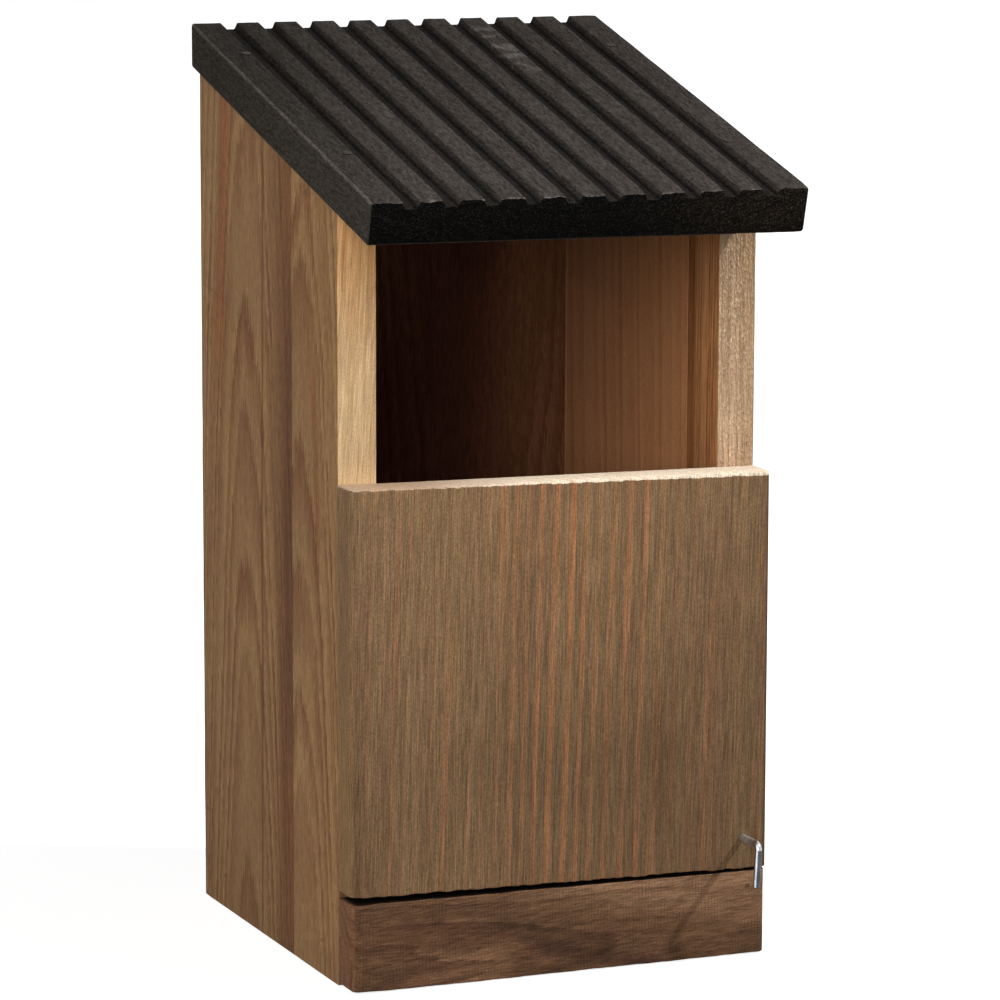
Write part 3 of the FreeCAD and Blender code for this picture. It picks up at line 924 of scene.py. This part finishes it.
def makeRoof(look=roofLook):
    width = roofHigh.x - roofLow.x
    length = (roofHigh.y - eaveY) / cos(roofPitch)
    # modelled lying flat with its eave at the origin, then tipped up
    thickness = look["thickness"]
    inset = look["inset"]
    low = Vector((roofLow.x, inset, -thickness))
    roof = newCube("roof_board.wood", low, Vector((roofHigh.x, length, -inset)))
    editOn(roof)
    grooveMiddles = [roofLow.x + width * index / look["ribs"] for index in range(1, look["ribs"])]
    for middle in grooveMiddles:
        for half in (look["grooveWidth"] / 2, look["grooveFloor"] / 2):
            cutAt((middle - half, 0, 0), toRight)
            cutAt((middle + half, 0, 0), toRight)
    reach = look["grooveFloor"] / 2 + 0.05 * mm

    def inGroove(vert):
        return vert.co.z > -mm and any(abs(vert.co.x - middle) < reach for middle in grooveMiddles)

    pick(roof, "VERT", inGroove)
    bpy.ops.transform.translate(value=(0, 0, -look["grooveDepth"]))

    def plumbBack(co):   # the back end stands upright once the roof is tipped up
        slide = co.z * tan(roofPitch) if co.y > length / 2 else 0
        return Vector((co.x, co.y + slide, co.z))

    def sagging(co):   # only in front of the walls
        under = max(0, -co.z / thickness - 0.5) * 2
        share = (co.x - roofLow.x) / width * max(0, 1 - co.y / look["frontOverhang"])
        return co - Vector((0, 0, look["sag"] * under * share))

    reshape(roof, plumbBack)

    def onRim(edge):
        middle = middleOf(edge)
        return abs(abs(middle.x) - roofHigh.x) < 0.1 * mm or middle.z < -10 * mm

    easeEdges(roof, look["edge"], lambda edge: isSharp(edge) and onRim(edge), 3)
    easeEdges(roof, look["ribEdge"], lambda edge: isSharp(edge) and middleOf(edge).z > -6 * mm, 2)
    divide(roof, 1, look["step"])
    divide(roof, 0, look["ribStep"])
    reshape(roof, sagging)
    editOff()
    addRelief(roof, "wear", 5 * mm, look["relief"], (1, 3, 1))
    eaveEdge = groupVerts(roof, "eaveEdge", lambda co: co.y < 1.5 * mm and co.z > -4 * mm)
    addRelief(roof, "eaveTear", 2.2 * mm, look["eaveTear"], (1, 1, 1), "Z", eaveEdge, 1.0, 1.5)
    applyPlace(setAll(roof, rotation_euler=(roofPitch, 0, 0), location=(0, eaveY, eaveTop)))
    return roof


dress(makeRoof(), roofPine, "box", "black_stained_pine", "roof_board")


# Dowels that line the panel up
dowelLook = {
    "radius": 3 * mm,
    "inPanel": 9 * mm,
    "length": 20 * mm,
    "chamfer": 0.8 * mm,
    "flutes": 12,
    "flute": 0.2 * mm,
}
# bare beech, turned and fluted: pale and even, with short brown flecks
dowelBeech = pineMaterial(
    "beech, turned and fluted, dowels",
    pith=(-72.5, -50, 120), lean=(90, 0, 0), ring=1.6, early="#c9a173", late="#b98d5e", line="#9d7146",
    blotch="#c09767", lateShare=0.6, lineShare=0.3, fibreAlong=5, fine=0.14, coarse=0.08,
)


def makeDowel(place, look=dowelLook):
    start = place - Vector((0, look["inPanel"], 0))
    sides = 3 * look["flutes"]
    dowel = newRod("locating_dowels.wood", start, look["length"], look["radius"], sides)
    editOn(dowel)
    easeEdges(dowel, look["chamfer"], lambda edge: isSharp(edge) and not runsAlong(edge, 1), 2)

    def fluted(co):
        spoke = Vector((co.x - place.x, 0, co.z - place.z))
        step = atan2(spoke.z, spoke.x) * look["flutes"] / (2 * pi)
        if abs(step - round(step)) > 0.1 or spoke.length < look["radius"] * 0.98:
            return co
        return co - spoke.normalized() * look["flute"]

    reshape(dowel, fluted)
    editOff()
    return dowel


firstDowel = makeDowel(dowelPlaces[0])
dowels = [firstDowel] + [copyTo(firstDowel, place - dowelPlaces[0]) for place in dowelPlaces[1:]]
dress(joinAll(dowels), dowelBeech, "box", "beech_dowel", "locating_dowels")


# Metal: a base colour with fine marks along the wire or sheet, and duller patches
def metalMaterial(name, bright, dull, grit, rough, metallic, patch=6.0, dent=0.01, dulled=None):
    material, add = newMaterial(name)
    place = placeInMm(add)
    marks = streaks(add, place, grit, grit * 4, 3.0)
    patches = streaks(add, place, patch, patch, 2.0)
    both = add("Math", [marks, 0.6, patches], **addScaled)
    share = add("MapRange", [both, 0.6, 1.0], **smooth)
    colour = add("Mix", {0: share, 6: paint(bright), 7: paint(dull)}, **colourMix)
    roughness = add("MapRange", [marks, 0.3, 0.7, rough - 0.06, rough + 0.1])
    if dulled:
        mask = bandMask(add, place, dulled)
        roughness = add("Mix", {0: mask, 2: roughness, 3: dulled["rough"]})
    height = add("Math", [marks, dent], **multiply)
    addSurface(add, colour, roughness, height, {"Specular IOR Level": 0.1, "Metallic": metallic})
    return material


# Screw hook: one bent wire with a thread on its hidden end
hookLook = {
    "wire": 1.25 * mm,          # radius
    "standOut": 13.2 * mm,
    "leg": 15.8 * mm,
    "bend": 2.2 * mm,
    "lean": radians(6),         # the leg leans back towards the panel
    "inWall": 20 * mm,
    "point": 3 * mm,
    "threadPitch": 1.25 * mm,
    "threadDepth": 0.35 * mm,
    "stepsPerTurn": 6,
    "sides": 24,
    "bendSteps": 14,
    "tipEdge": 0.5 * mm,
}
# drawn wire with bright zinc: mirrors its surroundings, with fine draw marks, and is duller by the wood
hookZinc = metalMaterial(
    "steel wire, drawn and bright zinc plated", "#d3d5d8", "#a9abb0", 0.5, 0.16, 1.0,
    dulled=band(toBack, panelLow.y / mm - 10.5, soft=2, rough=0.45),
)


def extrudeBy(run):
    bpy.ops.mesh.extrude_region_move(TRANSFORM_OT_translate={"value": run})


def makeHook(look=hookLook):
    tip = Vector((hookPlace.x, wallFront + look["inWall"], hookPlace.z))
    bpy.ops.mesh.primitive_circle_add(
        vertices=look["sides"], radius=look["wire"], fill_type="NGON",
        location=tip, rotation=(pi / 2, 0, 0),
    )
    hook = newPiece("turn_hook.wire")
    editOn(hook)
    bpy.ops.mesh.select_all(action="SELECT")
    extrudeBy((0, -look["inWall"], 0))
    divide(hook, 1, look["threadPitch"] / look["stepsPerTurn"])

    def threaded(co):   # a cone at the point, then a groove that winds round the wire
        fromTip = tip.y - co.y
        spoke = Vector((co.x - tip.x, 0, co.z - tip.z))
        turn = fromTip / look["threadPitch"] - atan2(spoke.z, spoke.x) / (2 * pi)
        groove = look["threadDepth"] * abs(2 * (turn % 1) - 1)
        radius = (look["wire"] - groove) * min(1, 0.1 + 0.9 * fromTip / look["point"])
        if fromTip > look["inWall"] - 0.1 * mm:
            radius = look["wire"]
        return co - spoke + spoke.normalized() * radius

    pick(hook, "FACE", lambda face: len(face.verts) > 4 and face.calc_center_median().y < wallFront + mm)
    bendStart = hookPlace.y - look["standOut"] + look["bend"]
    extrudeBy((0, bendStart - wallFront, 0))
    turn = pi / 2 + look["lean"]
    centre = (hookPlace.x, bendStart, hookPlace.z - look["bend"])
    bpy.ops.mesh.spin(steps=look["bendSteps"], angle=-turn, center=centre, axis=toRight)
    drop = look["leg"] - look["bend"] * (1 - cos(turn))
    legLength = drop / sin(turn)
    extrudeBy((0, -cos(turn) * legLength, -sin(turn) * legLength))
    bpy.ops.mesh.bevel(offset=look["tipEdge"], segments=2, affect="EDGES")
    reshape(hook, lambda co: threaded(co) if co.y > wallFront - 0.01 * mm else co)
    bpy.ops.mesh.select_all(action="SELECT")
    bpy.ops.mesh.remove_doubles(threshold=0.005 * mm)
    bpy.ops.mesh.select_all(action="DESELECT")
    bpy.ops.mesh.select_mode(type="FACE")
    bpy.ops.mesh.select_interior_faces()
    bpy.ops.mesh.delete(type="FACE")
    bpy.ops.mesh.select_all(action="SELECT")
    bpy.ops.mesh.normals_make_consistent(inside=False)
    editOff()
    return hook


dress(makeHook(), hookZinc, "hook", "bright_zinc_wire", "turn_hook")


# Keyhole hanger on the back
hangerLook = {
    "corner": 5 * mm,
    "edge": 0.25 * mm,
    "keyhole": 5 * mm,        # radius
    "slot": 2.5 * mm,         # half its width
    "slotRise": 14 * mm,
    "screwHole": 1.55 * mm,
    "screwShank": 1.5 * mm,
    "screwHead": 2.8 * mm,
    "screwHeadHeight": 1.4 * mm,
    "screwHeadRound": 0.75 * mm,
    "screwLength": 7.4 * mm,  # below the head
    "screwTip": 0.7 * mm,
    "crossWidth": 0.55 * mm,
    "crossReach": 1.5 * mm,
    "crossDepth": 0.8 * mm,
}
# zinc plated sheet: grey and dull, with cloudy patches
hangerZinc = metalMaterial(
    "sheet steel, stamped and zinc plated", "#b4b5b3", "#8d8f8e", 0.8, 0.36, 1.0, patch=4.0,
)


def makeHanger(look=hangerLook):
    plate = newCube("hanger_plate.steel", plateLow.copy(), plateHigh.copy())
    editOn(plate)
    easeEdges(plate, look["corner"], lambda edge: runsAlong(edge, 1), 8)
    editOff()
    centreZ = keyhole["pos_m"][2]
    drill(plate, 0, centreZ, plateLow.y - mm, plateHigh.y + mm, look["keyhole"])
    half = look["slot"]
    low = Vector((-half, plateLow.y - mm, centreZ - half))
    high = Vector((half, plateHigh.y + mm, centreZ + look["slotRise"] + half))
    cutAway(plate, slotCutter(low, high))
    for height in plateScrewHeights:
        drill(plate, 0, height, plateLow.y - mm, plateHigh.y + mm, look["screwHole"])
    editOn(plate)
    easeEdges(plate, look["edge"], lambda edge: isSharp(edge) and not runsAlong(edge, 1), 2)
    editOff()
    return plate


def makeScrew(height, look=hangerLook):   # pan head with a cross recess
    seat = Vector((0, plateHigh.y, height))
    screw = newRod("hanger_screws.steel", seat, look["screwHeadHeight"], look["screwHead"])
    editOn(screw)
    headTop = seat.y + look["screwHeadHeight"]
    headRound = look["screwHeadRound"]
    easeEdges(screw, headRound, lambda edge: abs(middleOf(edge).y - headTop) < 0.1 * mm, 4)
    pick(screw, "FACE", lambda face: face.normal.y < -0.9)
    bpy.ops.mesh.inset(thickness=look["screwHead"] - look["screwShank"])
    extrudeBy((0, -look["screwLength"], 0))
    bpy.ops.mesh.bevel(offset=look["screwTip"], segments=2, affect="EDGES")
    editOff()
    reach, width, depth = look["crossReach"], look["crossWidth"], look["crossDepth"]
    for halfX, halfZ in ((reach, width / 2), (width / 2, reach)):
        low = Vector((-halfX, headTop - depth, height - halfZ))
        high = Vector((halfX, headTop + mm, height + halfZ))
        cutAway(screw, newCube("cross", low, high))
    return screw


dress(makeHanger(), hangerZinc, "box", "zinc_plate", "hanger_plate")
firstScrew = makeScrew(plateScrewHeights[0])
secondScrew = copyTo(firstScrew, Vector((0, 0, plateScrewHeights[1] - plateScrewHeights[0])))
dress(joinAll([firstScrew, secondScrew]), hangerZinc, "box", "zinc_plate", "hanger_screws")

# Brads and nails keep their CAD shape: plain steel wire, stained over with the wood
stained = {"grit": 0.4, "rough": 0.7, "metallic": 0.0, "patch": 1.5}
brownBrads = metalMaterial("steel brads, stained over in brown", "#7b5d41", "#5f4630", **stained)
darkBrads = metalMaterial("steel brads, stained over in dark brown", "#54392a", "#3f2a1e", **stained)
blackNails = metalMaterial("steel nails, stained over in black", "#2b2724", "#211e1b", **stained)
for node, material in (
    ("left_back_brads", brownBrads),
    ("right_back_brads", brownBrads),
    ("left_floor_brads", brownBrads),
    ("right_floor_brads", brownBrads),
    ("rail_brads", darkBrads),
    ("roof_nails", blackNails),
):
    coat(frame["nodes"][node], material)
print("fasteners finished")

# Camera at the photograph's viewing angle
cameraLook = {
    "place": Vector((-635.5, -1541.7, 429.4)) * mm,
    "aim": Vector((11.0, 17.3, 157.2)) * mm,
    "roll": radians(0.17),
    "lens": 167.06,
}
bpy.ops.object.camera_add(location=cameraLook["place"])
camera = bpy.context.active_object
camera.data.lens = cameraLook["lens"]
facing = (cameraLook["aim"] - cameraLook["place"]).to_track_quat("-Z", "Y")
camera.rotation_euler = (facing @ Quaternion((0, 0, 1), cameraLook["roll"])).to_euler()
bpy.context.scene.camera = camera

# Studio: a large soft light on the left, a smaller one on the right, little fill
lights = {
    "left": {"place": (-1.28, -1.42, 0.95), "size": 1.5, "power": 43.0, "aim": (0, -0.06, 0.15)},
    "key": {"place": (3.04, -1.53, 3.8), "size": 0.18, "power": 365.0, "aim": (0, -0.06, 0.15)},
}
for name, look in lights.items():
    place = Vector(look["place"])
    bpy.ops.object.light_add(type="AREA", location=place)
    aim = (Vector(look["aim"]) - place).to_track_quat("-Z", "Y").to_euler()
    lamp = setAll(bpy.context.active_object, name=name + "Light", rotation_euler=aim)
    setAll(lamp.data, size=look["size"], energy=look["power"])


def seenRays(add):   # 1 for rays that come from the camera, also by way of metal or glass
    rays = add("LightPath", {}, out="Is Camera Ray")
    ways = rays.node.outputs
    seen = add("Math", [rays, ways["Is Glossy Ray"]], operation="MAXIMUM")
    return add("Math", [seen, ways["Is Transmission Ray"]], operation="MAXIMUM")


studio = {"fill": 0.1, "paper": "#a4a4a4", "nearGlow": 0.82, "farGlow": 1.0, "near": 150, "far": 700}
world = bpy.data.worlds.new("studio")
bpy.context.scene.world = world
world.use_nodes = True
world.node_tree.nodes.clear()
addToWorld = partial(addNode, world.node_tree)
level = addToWorld("MapRange", {0: seenRays(addToWorld), 3: studio["fill"], 4: 1.0})
background = addToWorld("Background", {"Color": (1, 1, 1, 1), "Strength": level})
addToWorld("OutputWorld", {"Surface": background})

bpy.ops.mesh.primitive_plane_add(size=12, location=(0, 0, -0.2 * mm))
studioFloor = setAll(bpy.context.active_object, name="studioFloor")
# matt white paper: shows white to the camera and keeps the shadow
paper, addToPaper = newMaterial("white paper, matt")
distance = addToPaper("VectorMath", [placeInMm(addToPaper)], out="Value", operation="LENGTH")
limits = {1: studio["near"], 2: studio["far"], 3: studio["nearGlow"], 4: studio["farGlow"]}
glow = addToPaper("MapRange", {0: distance, **limits}, **smooth)
glow = addToPaper("Math", [glow, seenRays(addToPaper)], **multiply)
matt = addToPaper("BsdfDiffuse", {"Color": paint(studio["paper"])})
white = addToPaper("Emission", {"Color": (1, 1, 1, 1), "Strength": glow})
addToPaper("OutputMaterial", {"Surface": addToPaper("AddShader", [matt, white])})
coat(studioFloor, paper)

# A black card on the floor that only reflections see: it darkens the far side of the bright wire
card = {"place": Vector((0.173, -0.429, 0)), "width": 0.6, "depth": 0.8, "turn": radians(-40)}
bpy.ops.mesh.primitive_plane_add(size=1, location=card["place"], rotation=(0, 0, card["turn"]))
blackCard = bpy.context.active_object
setAll(blackCard, name="blackCard", scale=(card["width"], card["depth"], 1))
setAll(blackCard, visible_camera=False, visible_diffuse=False, visible_shadow=False)
felt, addToFelt = newMaterial("black card, matt")
addToFelt("OutputMaterial", {"Surface": addToFelt("BsdfDiffuse", {"Color": paint("#555e68")})})
coat(blackCard, felt)

bpy.context.scene.view_settings.view_transform = "Standard"
print("scene ready")
